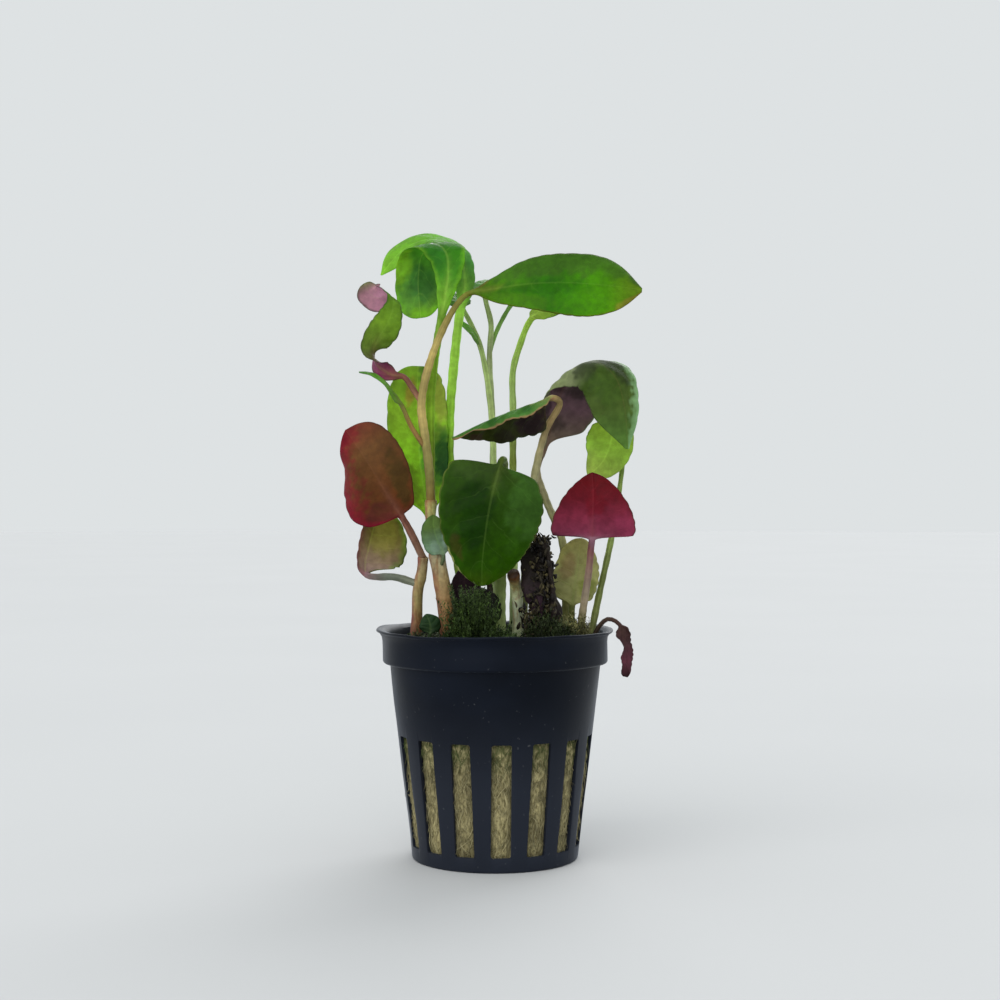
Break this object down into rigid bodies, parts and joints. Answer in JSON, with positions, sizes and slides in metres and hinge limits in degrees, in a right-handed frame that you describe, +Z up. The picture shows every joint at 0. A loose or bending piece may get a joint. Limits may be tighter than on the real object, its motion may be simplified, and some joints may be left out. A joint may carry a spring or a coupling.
{
  "type": "potted plant",
  "caption": "Young potted cardinal flower with arching petioles and broad green and crimson leaves, in a black slotted net pot filled with stone wool.",
  "frame": {"origin": "the centre of the pot's flat foot, on the surface it stands on", "axes": "+Z is up; -Y faces the viewer of the picture; +X is to that viewer's right"},
  "size_m": [0.0651, 0.0524, 0.1404],
  "materials": {
    "pot": "satin",
    "growing_medium": "matte",
    "stem_front": "matte",
    "stem_left": "matte",
    "stem_cut_stub": "matte",
    "stem_withered_left": "matte",
    "stem_withered_right": "matte",
    "leaf_top_right": "satin",
    "leaf_centre": "satin",
    "leaf_edge_on": "satin",
    "leaf_arched": "satin",
    "leaf_bright_right": "satin",
    "leaf_crimson": "satin",
    "leaf_maroon": "satin",
    "leaf_lower_left": "satin",
    "leaf_behind_stem": "satin",
    "leaf_small_teal": "satin",
    "leaf_curled": "satin",
    "leaf_small_edge": "satin",
    "leaf_upper_left": "satin",
    "leaf_upper_far": "satin",
    "leaf_back_left": "satin",
    "leaf_back_centre": "satin",
    "leaf_back_right": "satin",
    "leaf_dark_low": "satin",
    "leaf_olive_low": "satin",
    "leaf_low_centre": "satin",
    "leaf_low_left": "satin",
    "leaf_withered": "satin",
    "leaf_withered_rim": "satin"
  },
  "bodies": {
    "root": {"pot": "pot", "growing_medium": "growing_medium", "stem_front": "stem_front", "stem_left": "stem_left", "stem_cut_stub": "stem_cut_stub", "stem_withered_left": "stem_withered_left", "stem_withered_right": "stem_withered_right", "leaf_top_right": "leaf_top_right", "leaf_centre": "leaf_centre", "leaf_edge_on": "leaf_edge_on", "leaf_arched": "leaf_arched", "leaf_bright_right": "leaf_bright_right", "leaf_crimson": "leaf_crimson", "leaf_maroon": "leaf_maroon", "leaf_lower_left": "leaf_lower_left", "leaf_behind_stem": "leaf_behind_stem", "leaf_small_teal": "leaf_small_teal", "leaf_curled": "leaf_curled", "leaf_small_edge": "leaf_small_edge", "leaf_upper_left": "leaf_upper_left", "leaf_upper_far": "leaf_upper_far", "leaf_back_left": "leaf_back_left", "leaf_back_centre": "leaf_back_centre", "leaf_back_right": "leaf_back_right", "leaf_dark_low": "leaf_dark_low", "leaf_olive_low": "leaf_olive_low", "leaf_low_centre": "leaf_low_centre", "leaf_low_left": "leaf_low_left", "leaf_withered": "leaf_withered", "leaf_withered_rim": "leaf_withered_rim"}
  },
  "joints": []
}
